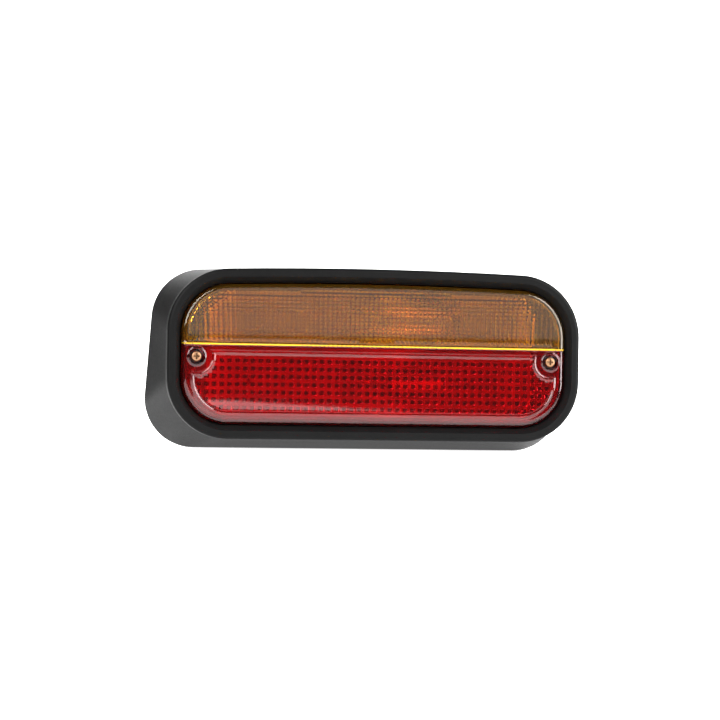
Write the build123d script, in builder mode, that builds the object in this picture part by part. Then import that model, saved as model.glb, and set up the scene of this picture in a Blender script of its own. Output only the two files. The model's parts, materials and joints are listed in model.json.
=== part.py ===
"""Rear combination lamp for a trailer: amber indicator above a red stop and tail light.

Millimetres. The lamp looks along -Y, +Z is up and +X is to the right seen from the front.
The origin is on the flat back face, on the axis of the front rim.
"""
import os

from build123d import *

os.makedirs("parts", exist_ok=True)

# ---- driving dimensions ----
rim_width = 228.0
rim_height = 90.0
crown = 2.75
rim_top_radius = 34.0
rim_bottom_radius = 33.0
lamp_depth = 54.0

# The foot of the flare is wider below than above
base_width = 240.8
base_top_width = 227.2
base_height = 97.2
base_drop = 2.0
base_top_radius = 28.0
base_bottom_radius = 27.0

bead_width = 4.5
bead_depth = 6.5
bead_round = 2.0
bead_overhang = 1.0
skin = 3.0

# Clearances on each side: a close fit and an easy one
close_gap = 0.1
easy_gap = 0.2

# The pocket that takes the lens, and the bucket behind it
pocket_inset = 7.5
pocket_depth = 5.0
channel_width = 3.0
channel_floor = 38.0
lip_front = 41.0
lip_width = 2.0
bucket_wall = 2.3
floor_thickness = 3.0
hollow_front = 34.5
hollow_margin = 0.4
rib_thickness = 2.0
rib_spacing = rim_width / 3
rib_height = base_height / 8

# Lens, moulded in two colours
lens_gap = 0.5
lens_skin = 2.2
lens_front = 52.6
lens_back = 40.2
lens_edge_round = 2.4
colour_line = 5.4

# Lens screws, tapping screws with a pan head
screw_x = 98.0
screw_z = -1.0
screw_radius = 1.45
screw_length = 19.0
head_radius = 2.85
head_height = 2.3
thread_pitch = 1.1
thread_depth = 0.3
thread_start = 2.0
tip_length = 1.6
tip_taper = 0.9
cross_length = 3.2
cross_width = 0.8
cross_depth = 1.5
cross_taper = 12
lens_hole_gap = 0.3
washer_radius = 3.3
washer_thickness = 0.8
seat_depth = 48.8
recess_radius = 3.95
lens_boss_radius = 4.9
lens_boss_back = 43.0
boss_radius = 4.2
boss_front = 42.6
pilot_radius = 1.5
pilot_back = 26.0

# Reflectors and the divider between them
tray_width = 182.0
tray_skin = 1.0
tray_back = 7.0
tray_front = 39.0
tray_gap = 0.3
tray_corner = 14.0
tray_inner_corner = 3.0
tray_back_round = 1.9
tray_window_margin = 12.0
amber_window = 13.0
red_window = 15.0
divider_thickness = 1.4
divider_front = 49.6

# Bulbs lie along X with their caps towards +X
bulb_depth = 22.0
globe_x = -4.0
globe_radius = 12.0
glass_skin = 0.7
neck_radius = 6.5
neck_end = 20.0
neck_round = 2.0
neck_floor = 1.5
stem_start = 7.0
glass_stem_radius = 1.8
stem_stop = 1.0
cap_start = 14.0
cap_end = 31.0
cap_radius = 7.5
cap_skin = 0.45
pin_x = 24.5
pin_radius = 1.0
pin_reach = 8.5
insulator_thickness = 2.4
insulator_round = 1.4
contact_offset = 3.2
contact_height = 1.0
contact_radius = 1.7
contact_round = 0.6

# Filaments: a coil held across the axis by two wires out of a bead on the stem
filament_radius = 0.7
filament_half = 4.0
wire_radius = 0.3
twin_offset = 3.4
bead_start = 5.0
bead_length = 2.0
bead_thickness = 2.4
bead_span = 9.4

# Bulb holders
press_travel = 1.5
turn_angle = 20.0
holder_start = 17.0
holder_end = 42.5
holder_bore = 7.6
holder_skin = 0.9
slot_play = 0.25
slot_margin = 9.5
rear_disc = 2.0
plunger_thickness = 2.2
plunger_play = 0.2
stem_radius = 0.9
stem_disc_radius = 2.0
stem_disc_thickness = 0.45
stem_end = 45.8
spring_radius = 5.6
spring_wire = 0.45
spring_turns = 4.0
spring_gap = 0.05
foot_x = 28.0
foot_width = 8.0
foot_thickness = 6.0
flange_width = 14.0
flange_height = 16.0
flange_thickness = 1.4

# Bus strips on the floor of the bucket
strip_width = 3.0
strip_thickness = 0.8
tab_x = 43.6
tab_half_height = 2.4
earth_overlap = 5.0

# Four-way connector at the back
connector_x = 57.0
connector_width = 13.5
connector_height = 28.0
connector_corner = 2.5
socket_corner = 1.5
connector_wall = 1.5
connector_reach = 14.0
connector_web = 2.0
connector_flange = 2.2
flange_depth = 1.0
seal_thickness = 1.0
terminal_pitch = 6.0
terminal_width = 2.8
terminal_thickness = 0.8
terminal_reach = 11.0

# Mounting studs, M6, moulded into the floor
stud_spacing = 150.0
stud_radius = 3.0
stud_neck_radius = 3.2
stud_reach = 18.0
stud_head_radius = 6.0
stud_head_thickness = 2.2
stud_head_back = 1.5
stud_boss_radius = 8.5
stud_boss_front = 6.6
stud_chamfer = 0.8

# Breather plug low in the floor
breather_x = -48.0
breather_z = -24.0
breather_radius = 3.0
breather_flange = 5.0
breather_flange_thickness = 1.5
breather_hole = 0.8

# Posts that carry the reflectors
post_x = 62.0
post_radius = 3.0
peg_radius = 1.3
peg_front = 9.4

# How close two radii are to count as the same
tolerance = 0.01

# ---- worked out from those ----
pocket_width = rim_width - 2 * pocket_inset
pocket_height = rim_height - 2 * pocket_inset
channel_in_width = pocket_width - 2 * channel_width
channel_in_height = pocket_height - 2 * channel_width
bucket_width = channel_in_width - 2 * lip_width
bucket_height = channel_in_height - 2 * lip_width
bucket_peak = bucket_height / 2 + crown * (bucket_width / rim_width) ** 2
amber_low = colour_line + divider_thickness / 2
amber_peak = bucket_peak - tray_gap
amber_level = (amber_low + amber_peak) / 2
red_low = tray_gap - bucket_height / 2
red_high = colour_line - divider_thickness / 2
red_level = (red_low + red_high) / 2
tray_crown = bucket_peak - bucket_height / 2
tray_crown = tray_crown * (tray_width / bucket_width) ** 2
post_places = [(x, level) for level in (amber_level, red_level) for x in (-post_x, post_x)]
plunger_x = cap_end + contact_height + stem_disc_thickness + spring_gap
rear_disc_x = holder_end - rear_disc


def outline(width, height, top_radius, bottom_radius, middle=0.0, rise=None, top_width=None):
    """The lamp's outline: straight foot and ends, and a slightly arched top."""
    half = width / 2
    top_half = (top_width or width) / 2
    low = middle - height / 2
    high = middle + height / 2
    if rise is None:
        rise = crown * (width / rim_width) ** 2
    with BuildSketch() as shape:
        with BuildLine():
            Polyline((-top_half, high), (-half, low), (half, low), (top_half, high))
            if rise:
                ThreePointArc((top_half, high), (0, high + rise), (-top_half, high))
            else:
                Line((top_half, high), (-top_half, high))
        make_face()
        fillet(shape.vertices().group_by(Axis.Y)[-1], top_radius)
        fillet(shape.vertices().group_by(Axis.Y)[0], bottom_radius)
    return shape.sketch


def facing(depth):
    """The plane this far in front of the back face, looking along -Y."""
    return Plane.XZ.offset(depth)


def inset(amount):
    """The rim's outline moved inwards by amount."""
    return outline(
        rim_width - 2 * amount,
        rim_height - 2 * amount,
        rim_top_radius - amount,
        rim_bottom_radius - amount,
    )


def base_inset(amount):
    """The outline of the flare's foot moved inwards by amount."""
    return outline(
        base_width - 2 * amount,
        base_height - 2 * amount,
        base_top_radius - amount,
        base_bottom_radius - amount,
        -base_drop,
        top_width=base_top_width - 2 * amount,
    )


def across(x, level):
    """A plane square to a bulb's axis, looking along +X."""
    return Plane((x, -bulb_depth, level), x_dir=(0, 0, 1), z_dir=(1, 0, 0))


pocket_outline = inset(pocket_inset)
channel_outline = inset(pocket_inset + channel_width)
bucket_outline = inset(pocket_inset + channel_width + lip_width)

# The space between the flared skirt and the bucket, open at the back, with ribs left across it
with BuildPart() as skirt_hollow:
    with BuildSketch(facing(0)):
        add(base_inset(skin))
    with BuildSketch(facing(hollow_front)):
        add(inset(bead_overhang + skin + hollow_margin))
    loft(ruled=True)
    with BuildSketch(facing(0)):
        add(inset(pocket_inset + channel_width + lip_width - bucket_wall))
    extrude(amount=hollow_front, mode=Mode.SUBTRACT)
    with BuildSketch(facing(0)):
        with GridLocations(rib_spacing, 1, 3, 1):
            Rectangle(rib_thickness, base_height)
        with Locations((0, -rib_height), (0, rib_height)):
            Rectangle(base_width, rib_thickness)
    extrude(amount=hollow_front, mode=Mode.SUBTRACT)

# ---- housing ----
with BuildPart() as housing:
    with BuildSketch(facing(0)):
        add(base_inset(0))
    with BuildSketch(facing(lamp_depth - bead_depth)):
        add(inset(bead_overhang))
    loft(ruled=True)
    with BuildSketch(facing(lamp_depth - bead_depth)):
        add(inset(0))
    extrude(amount=bead_depth)
    front_edges = housing.faces().sort_by(Axis.Y)[0].edges()
    fillet(front_edges, bead_round)
    # the sloping wall inside the bead, then the pocket for the lens
    with BuildSketch(facing(lamp_depth)):
        add(inset(bead_width))
    with BuildSketch(facing(lamp_depth - pocket_depth)):
        add(pocket_outline)
    loft(ruled=True, mode=Mode.SUBTRACT)
    with BuildSketch(facing(channel_floor)):
        add(pocket_outline)
    extrude(amount=lamp_depth - channel_floor, mode=Mode.SUBTRACT)
    # the lip inside the gasket channel
    with BuildSketch(facing(channel_floor)):
        add(channel_outline)
    extrude(amount=lip_front - channel_floor)
    with BuildSketch(facing(floor_thickness)):
        add(bucket_outline)
    extrude(amount=lip_front - floor_thickness, mode=Mode.SUBTRACT)
    add(skirt_hollow.part, mode=Mode.SUBTRACT)
    # screw bosses
    with BuildSketch(facing(floor_thickness)):
        with Locations((-screw_x, screw_z), (screw_x, screw_z)):
            Circle(boss_radius)
    extrude(amount=boss_front - floor_thickness)
    with BuildSketch(facing(pilot_back)):
        with Locations((-screw_x, screw_z), (screw_x, screw_z)):
            Circle(pilot_radius)
    extrude(amount=boss_front - pilot_back, mode=Mode.SUBTRACT)
    # bosses round the heads of the mounting studs
    with BuildSketch(facing(floor_thickness)):
        with GridLocations(stud_spacing, 1, 2, 1):
            Circle(stud_boss_radius)
    extrude(amount=stud_boss_front - floor_thickness)
    with BuildSketch(facing(0)):
        with GridLocations(stud_spacing, 1, 2, 1):
            Circle(stud_neck_radius)
    extrude(amount=stud_head_back, mode=Mode.SUBTRACT)
    with BuildSketch(facing(stud_head_back)):
        with GridLocations(stud_spacing, 1, 2, 1):
            Circle(stud_head_radius)
    extrude(amount=stud_head_thickness, mode=Mode.SUBTRACT)
    # posts and pegs that carry the reflectors
    with BuildSketch(facing(floor_thickness)):
        with Locations(*post_places):
            Circle(post_radius)
    extrude(amount=tray_back - floor_thickness)
    with BuildSketch(facing(tray_back)):
        with Locations(*post_places):
            Circle(peg_radius)
    extrude(amount=peg_front - tray_back)
    # opening for the connector, stepped for its seal and flange
    with BuildSketch(facing(0)):
        with Locations((connector_x, 0)):
            RectangleRounded(connector_width, connector_height, connector_corner)
    extrude(amount=floor_thickness, mode=Mode.SUBTRACT)
    with BuildSketch(facing(0)):
        with Locations((connector_x, 0)):
            RectangleRounded(
                connector_width + 2 * connector_flange,
                connector_height + 2 * connector_flange,
                connector_corner + connector_flange,
            )
    extrude(amount=flange_depth + seal_thickness, mode=Mode.SUBTRACT)
    with BuildSketch(facing(0)):
        with Locations((breather_x, breather_z)):
            Circle(breather_radius)
    extrude(amount=floor_thickness, mode=Mode.SUBTRACT)
housing.part.label = "housing"
export_step(housing.part, "parts/housing.step")

# ---- lens gasket, in the channel ----
with BuildPart() as lens_gasket:
    with BuildSketch(facing(channel_floor)):
        add(inset(pocket_inset + easy_gap))
        add(inset(pocket_inset + channel_width - easy_gap), mode=Mode.SUBTRACT)
    extrude(amount=lens_back - channel_floor)
lens_gasket.part.label = "lens_gasket"
export_step(lens_gasket.part, "parts/lens_gasket.step")

# ---- lens, one dished shell that is cut along the colour line ----
with BuildPart() as lens_shell:
    with BuildSketch(facing(lens_back)):
        add(inset(pocket_inset + lens_gap))
    extrude(amount=lens_front - lens_back)
    fillet(lens_shell.faces().sort_by(Axis.Y)[0].edges(), lens_edge_round)
    with BuildSketch(facing(lens_back)):
        add(inset(pocket_inset + lens_gap + lens_skin))
    extrude(amount=lens_front - lens_skin - lens_back, mode=Mode.SUBTRACT)
    with BuildSketch(facing(lens_boss_back)):
        with GridLocations(2 * screw_x, 1, 2, 1):
            with Locations((0, screw_z)):
                Circle(lens_boss_radius)
    extrude(amount=lens_front - lens_skin - lens_boss_back)
    with BuildSketch(facing(seat_depth)):
        with GridLocations(2 * screw_x, 1, 2, 1):
            with Locations((0, screw_z)):
                Circle(recess_radius)
    extrude(amount=lens_front - seat_depth, mode=Mode.SUBTRACT)
    with BuildSketch(facing(lens_boss_back)):
        with GridLocations(2 * screw_x, 1, 2, 1):
            with Locations((0, screw_z)):
                Circle(screw_radius + lens_hole_gap)
    extrude(amount=seat_depth - lens_boss_back, mode=Mode.SUBTRACT)

colour_plane = Plane((0, 0, colour_line), z_dir=(0, 0, 1))
with BuildPart() as amber_lens:
    add(lens_shell.part)
    split(bisect_by=colour_plane, keep=Keep.TOP)
amber_lens.part.label = "amber_lens"
export_step(amber_lens.part, "parts/amber_lens.step")

with BuildPart() as red_lens:
    add(lens_shell.part)
    split(bisect_by=colour_plane, keep=Keep.BOTTOM)
red_lens.part.label = "red_lens"
export_step(red_lens.part, "parts/red_lens.step")

# ---- lens screws with their sealing washers ----
for side, x in (("left", -screw_x), ("right", screw_x)):
    washer_name = "screw_washer_" + side
    with BuildPart() as screw_washer:
        with BuildSketch(facing(seat_depth)):
            with Locations((x, screw_z)):
                Circle(washer_radius)
                Circle(screw_radius + close_gap, mode=Mode.SUBTRACT)
        extrude(amount=washer_thickness)
    screw_washer.part.label = washer_name
    export_step(screw_washer.part, "parts/" + washer_name + ".step")

    head_depth = seat_depth + washer_thickness
    tip_depth = head_depth - screw_length
    thread_turns = int((screw_length - 2 * thread_start) / thread_pitch)
    screw_name = "lens_screw_" + side
    with BuildPart() as lens_screw:
        with BuildSketch(facing(head_depth)):
            with Locations((x, screw_z)):
                Circle(head_radius)
        extrude(amount=head_height)
        fillet(lens_screw.faces().sort_by(Axis.Y)[0].edges(), head_height / 2)
        with BuildSketch(facing(tip_depth)):
            with Locations((x, screw_z)):
                Circle(screw_radius)
        extrude(amount=screw_length)
        chamfer(lens_screw.faces().sort_by(Axis.Y)[-1].edges(), tip_length, tip_taper)
        # thread, as grooves one pitch apart
        for turn in range(thread_turns):
            with BuildSketch(facing(tip_depth + thread_start + turn * thread_pitch)):
                with Locations((x, screw_z)):
                    Circle(2 * screw_radius)
                    Circle(screw_radius - thread_depth, mode=Mode.SUBTRACT)
            extrude(amount=thread_pitch / 2, mode=Mode.SUBTRACT)
        # cross recess
        with BuildSketch(facing(head_depth + head_height)):
            with Locations((x, screw_z)):
                Rectangle(cross_length, cross_width)
                Rectangle(cross_width, cross_length)
        extrude(amount=-cross_depth, taper=cross_taper, mode=Mode.SUBTRACT)
    lens_screw.part.label = screw_name
    export_step(lens_screw.part, "parts/" + screw_name + ".step")

# ---- reflectors and the divider ----
with BuildPart() as amber_reflector:
    tray_height = amber_peak - tray_crown - amber_low
    tray_middle = amber_low + tray_height / 2
    with BuildSketch(facing(tray_back)):
        add(outline(tray_width, tray_height, tray_corner, tray_inner_corner, tray_middle, tray_crown))
    extrude(amount=tray_front - tray_back)
    fillet(amber_reflector.faces().sort_by(Axis.Y)[-1].edges(), tray_back_round)
    with BuildSketch(facing(tray_back + tray_skin)):
        add(
            outline(
                tray_width - 2 * tray_skin,
                tray_height - 2 * tray_skin,
                tray_corner - tray_skin,
                tray_inner_corner - tray_skin,
                tray_middle,
                tray_crown,
            )
        )
    extrude(amount=tray_front - tray_back - tray_skin, mode=Mode.SUBTRACT)
    with BuildSketch(facing(tray_back)):
        with Locations(((foot_x + tab_x) / 2, amber_level)):
            Rectangle(tab_x - foot_x + tray_window_margin, amber_window)
        with Locations((-post_x, amber_level), (post_x, amber_level)):
            Circle(peg_radius + close_gap)
    extrude(amount=2 * tray_skin, mode=Mode.SUBTRACT)
amber_reflector.part.label = "amber_reflector"
export_step(amber_reflector.part, "parts/amber_reflector.step")

with BuildPart() as red_reflector:
    tray_height = red_high - red_low
    tray_middle = red_low + tray_height / 2
    with BuildSketch(facing(tray_back)):
        add(outline(tray_width, tray_height, tray_inner_corner, tray_corner, tray_middle, 0))
    extrude(amount=tray_front - tray_back)
    fillet(red_reflector.faces().sort_by(Axis.Y)[-1].edges(), tray_back_round)
    with BuildSketch(facing(tray_back + tray_skin)):
        add(
            outline(
                tray_width - 2 * tray_skin,
                tray_height - 2 * tray_skin,
                tray_inner_corner - tray_skin,
                tray_corner - tray_skin,
                tray_middle,
                0,
            )
        )
    extrude(amount=tray_front - tray_back - tray_skin, mode=Mode.SUBTRACT)
    with BuildSketch(facing(tray_back)):
        with Locations(((foot_x + tab_x) / 2, red_level)):
            Rectangle(tab_x - foot_x + tray_window_margin, red_window)
        with Locations((-post_x, red_level), (post_x, red_level)):
            Circle(peg_radius + close_gap)
    extrude(amount=2 * tray_skin, mode=Mode.SUBTRACT)
red_reflector.part.label = "red_reflector"
export_step(red_reflector.part, "parts/red_reflector.step")

with BuildPart() as divider:
    with BuildSketch(facing(tray_back)):
        with Locations((0, colour_line)):
            Rectangle(tray_width, divider_thickness)
    extrude(amount=divider_front - tray_back)
divider.part.label = "divider"
export_step(divider.part, "parts/divider.step")

# ---- bulbs and their holders, one set in each chamber ----
chambers = (
    ("amber", amber_level, (0.0,), (0.0,)),
    ("red", red_level, (-contact_offset, contact_offset), (-twin_offset, twin_offset)),
)
for colour, level, contacts, filament_rows in chambers:
    with BuildPart() as bulb_glass:
        with Locations((globe_x, -bulb_depth, level)):
            Sphere(globe_radius)
        with BuildSketch(across(globe_x, level)):
            Circle(neck_radius)
        extrude(amount=neck_end - globe_x)
        neck_circles = bulb_glass.edges().filter_by(GeomType.CIRCLE)
        neck_circles = neck_circles.filter_by(lambda edge: abs(edge.radius - neck_radius) < tolerance)
        fillet(neck_circles.sort_by(Axis.X)[0], neck_round)
        with Locations((globe_x, -bulb_depth, level)):
            Sphere(globe_radius - glass_skin, mode=Mode.SUBTRACT)
        with BuildSketch(across(globe_x, level)):
            Circle(neck_radius - glass_skin)
        extrude(amount=neck_end - neck_floor - globe_x, mode=Mode.SUBTRACT)
        # the stem that carries the wires
        with BuildSketch(across(stem_start, level)):
            Circle(glass_stem_radius)
        extrude(amount=neck_end - stem_stop - stem_start)
    bulb_glass.part.label = colour + "_bulb_glass"
    export_step(bulb_glass.part, "parts/" + colour + "_bulb_glass.step")

    with BuildPart() as bulb_filament:
        for row in filament_rows:
            coil_x = globe_x + row
            coil_start = (coil_x, -bulb_depth - filament_half, level)
            with BuildSketch(across(coil_x - filament_radius, level)):
                with Locations((0, -filament_half), (0, filament_half)):
                    Circle(wire_radius)
            extrude(amount=bead_start + bead_length / 2 - coil_x)
            with BuildSketch(Plane(coil_start, x_dir=(1, 0, 0), z_dir=(0, 1, 0))):
                Circle(filament_radius)
            extrude(amount=2 * filament_half)
        with BuildSketch(across(bead_start, level)):
            Rectangle(bead_thickness, bead_span)
        extrude(amount=bead_length)
    bulb_filament.part.label = colour + "_bulb_filament"
    export_step(bulb_filament.part, "parts/" + colour + "_bulb_filament.step")

    with BuildPart() as bulb_cap:
        with BuildSketch(across(cap_start, level)):
            Circle(cap_radius)
        extrude(amount=cap_end - insulator_thickness - cap_start)
        with BuildSketch(Plane((pin_x, -bulb_depth, level - pin_reach), z_dir=(0, 0, 1))):
            Circle(pin_radius)
        extrude(amount=2 * pin_reach)
        with BuildSketch(across(cap_start, level)):
            Circle(cap_radius - cap_skin)
        extrude(amount=cap_end - insulator_thickness - cap_start, mode=Mode.SUBTRACT)
    bulb_cap.part.label = colour + "_bulb_cap"
    export_step(bulb_cap.part, "parts/" + colour + "_bulb_cap.step")

    with BuildPart() as bulb_insulator:
        with BuildSketch(across(cap_end - insulator_thickness, level)):
            Circle(cap_radius)
        extrude(amount=insulator_thickness)
        fillet(bulb_insulator.faces().sort_by(Axis.X)[-1].edges(), insulator_round)
    bulb_insulator.part.label = colour + "_bulb_insulator"
    export_step(bulb_insulator.part, "parts/" + colour + "_bulb_insulator.step")

    with BuildPart() as bulb_contact:
        with BuildSketch(across(cap_end, level)):
            with Locations(*[(offset_z, 0) for offset_z in contacts]):
                Circle(contact_radius)
        extrude(amount=contact_height)
        fillet(bulb_contact.faces().filter_by(Axis.X).group_by(Axis.X)[-1].edges(), contact_round)
    bulb_contact.part.label = colour + "_bulb_contact"
    export_step(bulb_contact.part, "parts/" + colour + "_bulb_contact.step")

    with BuildPart() as bulb_holder:
        with BuildSketch(across(holder_start, level)):
            Circle(holder_bore + holder_skin)
        extrude(amount=holder_end - holder_start)
        # foot down to the floor, and its flange
        with BuildSketch(facing(floor_thickness + strip_thickness)):
            with Locations((foot_x, level)):
                Rectangle(foot_width, foot_thickness)
        extrude(amount=bulb_depth - holder_bore - floor_thickness - strip_thickness)
        with BuildSketch(facing(floor_thickness + strip_thickness)):
            with Locations((foot_x, level)):
                Rectangle(flange_width, flange_height)
        extrude(amount=flange_thickness)
        with BuildSketch(across(holder_start, level)):
            Circle(holder_bore)
        extrude(amount=holder_end - holder_start, mode=Mode.SUBTRACT)
        # bayonet slots: a way in for each pin, and the stretch it turns and presses along
        slot_half = pin_radius + slot_play
        for start in (0, 180):
            way_in = across(holder_start, level).rotated((0, 0, start + turn_angle))
            with BuildSketch(way_in):
                with Locations((holder_bore + holder_skin, 0)):
                    Rectangle(4 * holder_skin, 2 * slot_half)
            extrude(amount=pin_x - holder_start, mode=Mode.SUBTRACT)
            with BuildSketch(across(pin_x - slot_half, level)):
                with BuildLine():
                    reach = holder_bore + 2 * holder_skin
                    CenterArc((0, 0), reach, start - slot_margin, turn_angle + 2 * slot_margin)
                    PolarLine((0, 0), reach, start - slot_margin)
                    PolarLine((0, 0), reach, start + turn_angle + slot_margin)
                make_face()
            extrude(amount=2 * slot_half + press_travel, mode=Mode.SUBTRACT)
    bulb_holder.part.label = colour + "_bulb_holder"
    export_step(bulb_holder.part, "parts/" + colour + "_bulb_holder.step")

    with BuildPart() as plunger:
        with BuildSketch(across(plunger_x, level)):
            Circle(holder_bore - plunger_play)
            with Locations(*[(offset_z, 0) for offset_z in contacts]):
                Circle(stem_radius, mode=Mode.SUBTRACT)
        extrude(amount=plunger_thickness)
    plunger.part.label = colour + "_plunger"
    export_step(plunger.part, "parts/" + colour + "_plunger.step")

    with BuildPart() as plunger_contact:
        with BuildSketch(across(plunger_x - stem_disc_thickness, level)):
            with Locations(*[(offset_z, 0) for offset_z in contacts]):
                Circle(stem_disc_radius)
        extrude(amount=stem_disc_thickness)
        with BuildSketch(across(plunger_x, level)):
            with Locations(*[(offset_z, 0) for offset_z in contacts]):
                Circle(stem_radius)
        extrude(amount=stem_end - plunger_x)
    plunger_contact.part.label = colour + "_plunger_contact"
    export_step(plunger_contact.part, "parts/" + colour + "_plunger_contact.step")

    spring_x = plunger_x + plunger_thickness
    spring_height = rear_disc_x - spring_x - 2 * (spring_wire + spring_gap)
    spring_start = (spring_x + spring_wire + spring_gap, -bulb_depth, level)
    with BuildPart() as contact_spring:
        with BuildLine() as coil:
            Helix(spring_height / spring_turns, spring_height, spring_radius, spring_start, (1, 0, 0))
        with BuildSketch(Plane(coil.line @ 0, z_dir=coil.line % 0)):
            Circle(spring_wire)
        sweep(is_frenet=True)
    contact_spring.part.label = colour + "_spring"
    export_step(contact_spring.part, "parts/" + colour + "_spring.step")

    with BuildPart() as rear_insulator:
        with BuildSketch(across(rear_disc_x, level)):
            Circle(holder_bore)
            with Locations(*[(offset_z, 0) for offset_z in contacts]):
                Circle(stem_radius + easy_gap, mode=Mode.SUBTRACT)
        extrude(amount=rear_disc)
    rear_insulator.part.label = colour + "_holder_disc"
    export_step(rear_insulator.part, "parts/" + colour + "_holder_disc.step")

# ---- bus strips, flat on the floor, each with an upright tab for a contact stem ----
terminal_z = [terminal_pitch * (1.5 - index) for index in range(4)]
stop_z = red_level + contact_offset
tail_z = red_level - contact_offset
tab_middle = tab_x + strip_thickness / 2
stop_turn_x = connector_x - 2 * strip_width
feeds = (
    ("indicator_strip", amber_level, ((connector_x, amber_level), (connector_x, terminal_z[0]))),
    (
        "stop_strip",
        stop_z,
        ((stop_turn_x, stop_z), (stop_turn_x, terminal_z[2]), (connector_x, terminal_z[2])),
    ),
    ("tail_strip", tail_z, ((connector_x, tail_z), (connector_x, terminal_z[3]))),
)
for strip_name, level, route in feeds:
    with BuildPart() as strip:
        with BuildSketch(facing(floor_thickness)):
            with BuildLine() as run:
                Polyline((tab_x, level), *route)
            trace(run.line, line_width=strip_width)
            with Locations((tab_middle, level)):
                Rectangle(strip_thickness, 2 * tab_half_height)
        extrude(amount=strip_thickness)
        with BuildSketch(Plane((tab_x, -floor_thickness, level), x_dir=(0, 0, 1), z_dir=(1, 0, 0))):
            with Locations((0, (bulb_depth - floor_thickness + tab_half_height) / 2)):
                Rectangle(2 * tab_half_height, bulb_depth - floor_thickness + tab_half_height)
            with Locations((0, bulb_depth - floor_thickness)):
                Circle(stem_radius + close_gap, mode=Mode.SUBTRACT)
        extrude(amount=strip_thickness)
    strip.part.label = strip_name
    export_step(strip.part, "parts/" + strip_name + ".step")

with BuildPart() as earth_strip:
    with BuildSketch(facing(floor_thickness)):
        with BuildLine() as run:
            Polyline((foot_x, red_level - earth_overlap), (foot_x, amber_level + earth_overlap))
        trace(run.line, line_width=strip_width)
        with BuildLine() as run:
            Polyline((foot_x, terminal_z[1]), (connector_x, terminal_z[1]))
        trace(run.line, line_width=strip_width)
    extrude(amount=strip_thickness)
earth_strip.part.label = "earth_strip"
export_step(earth_strip.part, "parts/earth_strip.step")

# ---- connector at the back: shell, seal and terminals ----
with BuildPart() as connector_shell:
    with BuildSketch(facing(floor_thickness)):
        with Locations((connector_x, 0)):
            RectangleRounded(connector_width - easy_gap, connector_height - easy_gap, connector_corner)
    extrude(amount=-floor_thickness - connector_reach)
    with BuildSketch(facing(0)):
        with Locations((connector_x, 0)):
            RectangleRounded(
                connector_width + 2 * (connector_flange - easy_gap),
                connector_height + 2 * (connector_flange - easy_gap),
                connector_corner + connector_flange,
            )
    extrude(amount=flange_depth)
    with BuildSketch(facing(floor_thickness - connector_web)):
        with Locations((connector_x, 0)):
            RectangleRounded(
                connector_width - 2 * connector_wall,
                connector_height - 2 * connector_wall,
                socket_corner,
            )
    extrude(amount=connector_web - floor_thickness - connector_reach, mode=Mode.SUBTRACT)
    with BuildSketch(facing(floor_thickness)):
        for level in terminal_z:
            with Locations((connector_x, level)):
                Rectangle(terminal_thickness, terminal_width)
    extrude(amount=-connector_web, mode=Mode.SUBTRACT)
connector_shell.part.label = "connector_shell"
export_step(connector_shell.part, "parts/connector_shell.step")

with BuildPart() as connector_seal:
    with BuildSketch(facing(flange_depth)):
        with Locations((connector_x, 0)):
            RectangleRounded(
                connector_width + 2 * (connector_flange - easy_gap),
                connector_height + 2 * (connector_flange - easy_gap),
                connector_corner + connector_flange,
            )
            RectangleRounded(
                connector_width + easy_gap,
                connector_height + easy_gap,
                connector_corner,
                mode=Mode.SUBTRACT,
            )
    extrude(amount=seal_thickness)
connector_seal.part.label = "connector_seal"
export_step(connector_seal.part, "parts/connector_seal.step")

with BuildPart() as terminals:
    with BuildSketch(facing(floor_thickness)):
        for level in terminal_z:
            with Locations((connector_x, level)):
                Rectangle(terminal_thickness, terminal_width)
    extrude(amount=-floor_thickness - terminal_reach)
terminals.part.label = "terminals"
export_step(terminals.part, "parts/terminals.step")

# ---- mounting studs ----
with BuildPart() as mounting_studs:
    with BuildSketch(facing(stud_head_back)):
        with GridLocations(stud_spacing, 1, 2, 1):
            Circle(stud_head_radius)
    extrude(amount=stud_head_thickness)
    # the neck is gripped by the floor, and the shank starts at the back face
    with BuildSketch(facing(stud_head_back)):
        with GridLocations(stud_spacing, 1, 2, 1):
            Circle(stud_neck_radius)
    extrude(amount=-stud_head_back)
    with BuildSketch(facing(0)):
        with GridLocations(stud_spacing, 1, 2, 1):
            Circle(stud_radius)
    extrude(amount=-stud_reach)
    chamfer(mounting_studs.faces().filter_by(Axis.Y).group_by(Axis.Y)[-1].edges(), stud_chamfer)
mounting_studs.part.label = "mounting_studs"
export_step(mounting_studs.part, "parts/mounting_studs.step")

# ---- breather plug ----
with BuildPart() as breather:
    with BuildSketch(facing(0)):
        with Locations((breather_x, breather_z)):
            Circle(breather_radius)
    extrude(amount=floor_thickness)
    with BuildSketch(facing(floor_thickness)):
        with Locations((breather_x, breather_z)):
            Circle(breather_flange)
    extrude(amount=breather_flange_thickness)
    with BuildSketch(facing(0)):
        with Locations((breather_x, breather_z)):
            Circle(breather_hole)
    extrude(amount=floor_thickness + breather_flange_thickness, mode=Mode.SUBTRACT)
breather.part.label = "breather"
export_step(breather.part, "parts/breather.step")
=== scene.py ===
"""Looks of the trailer tail light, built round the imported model.

Metres, in the model's own frame: the lamp looks along -Y, +Z is up, +X is to the right from the front.
"""
import json
import math

import bmesh
import bpy
from mathutils import Matrix, Vector
from mathutils.geometry import delaunay_2d_cdt


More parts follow.
